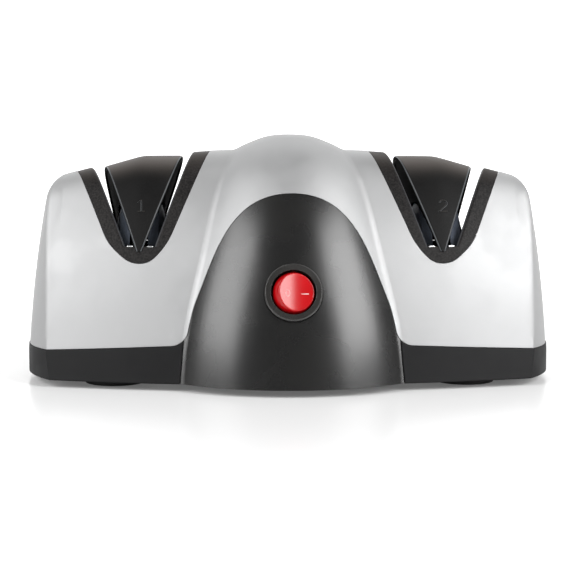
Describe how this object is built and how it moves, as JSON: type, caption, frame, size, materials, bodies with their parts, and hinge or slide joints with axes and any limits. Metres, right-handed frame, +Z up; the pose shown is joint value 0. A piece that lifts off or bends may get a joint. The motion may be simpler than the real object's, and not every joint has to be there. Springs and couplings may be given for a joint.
{
  "type": "electric knife sharpener",
  "caption": "Table-top electric knife sharpener with a round motor dome between two slotted sharpening heads and a round rocker switch on the front.",
  "frame": {"origin": "middle of the footprint, on the surface that the rubber feet stand on", "axes": "+X along the two sharpening heads, -Y towards the switch side, +Z up"},
  "size_m": [0.2196, 0.1304, 0.1017],
  "materials": {
    "silver_shell": "satin silver paint on moulded plastic",
    "panel_black": "satin black",
    "base_charcoal": "matte charcoal",
    "guide_black": "satin black",
    "guide_grey": "satin dark grey",
    "foot_rubber": "matte",
    "strip_steel": "polished",
    "screw_steel": "zinc plated",
    "can_steel": "zinc plated",
    "bell_metal": "die cast",
    "bush_bronze": "sintered",
    "magnet_ferrite": "matte",
    "shaft_steel": "ground",
    "core_steel": "laminated",
    "winding_copper": "enamelled copper wire",
    "commutator_copper": "copper",
    "brush_carbon": "matte carbon",
    "spring_steel": "bright",
    "fan_plastic": "natural white",
    "fine_abrasive": "fine grit",
    "coarse_abrasive": "coarse grit",
    "cradle_plastic": "moulded",
    "board_laminate": "phenolic laminate",
    "component_black": "moulded",
    "gland_black": "matte",
    "bezel_grey": "satin dark grey",
    "rocker_red": "glossy translucent red",
    "contact_metal": "plated"
  },
  "bodies": {
    "housing": {"upper_shell": "silver_shell", "front_panel": "panel_black", "base_tray": "base_charcoal", "rubber_feet": "foot_rubber", "case_screws": "screw_steel", "right_guide_frame": "guide_black", "left_guide_frame": "guide_black", "right_guide_wedge": "guide_grey", "left_guide_wedge": "guide_grey", "blade_rest_strips": "strip_steel", "motor_can": "can_steel", "left_end_bell": "bell_metal", "right_end_bell": "bell_metal", "motor_bushes": "bush_bronze", "motor_magnets": "magnet_ferrite", "carbon_brushes": "brush_carbon", "brush_holders": "bush_bronze", "brush_springs": "spring_steel", "damping_rings": "foot_rubber", "motor_cradle": "cradle_plastic", "motor_straps": "cradle_plastic", "strap_screws": "screw_steel", "rectifier_board": "board_laminate", "board_components": "component_black", "cord_gland": "gland_black", "cord_clamp": "cradle_plastic", "clamp_screws": "screw_steel", "switch_body": "bezel_grey", "switch_terminals": "contact_metal"},
    "rotor": {"rotor_shaft": "shaft_steel", "armature_core": "core_steel", "armature_windings": "winding_copper", "commutator": "commutator_copper", "cooling_fan": "fan_plastic", "fine_wheels": "fine_abrasive", "coarse_wheels": "coarse_abrasive", "wheel_springs": "spring_steel", "wheel_sleeves": "shaft_steel", "shaft_collars": "bush_bronze", "wheel_washers": "screw_steel", "wheel_nuts": "screw_steel"},
    "rocker_switch": {"rocker": "rocker_red", "rocker_plunger": "fan_plastic", "rocker_spring": "spring_steel"},
    "contact": {"contact_bridge": "contact_metal"}
  },
  "joints": [
    {"name": "rotor_spin", "type": "hinge", "parent": "housing", "child": "rotor", "pos_m": [0, 0, 0.046], "axis": [1, 0, 0], "continuous": true},
    {"name": "rocker_tip", "type": "hinge", "parent": "housing", "child": "rocker_switch", "pos_m": [0, -0.05405, 0.03951], "axis": [0, -0.3165, -0.9486], "range_deg": [0, 28]},
    {"name": "contact_tip", "type": "hinge", "parent": "housing", "child": "contact", "pos_m": [0, -0.04504, 0.0365], "axis": [0, -0.3165, -0.9486], "range_deg": [-16, 0]}
  ],
  "couplings": [
    {"joint": "contact_tip", "follows": "rocker_tip", "ratio": -0.57143}
  ]
}
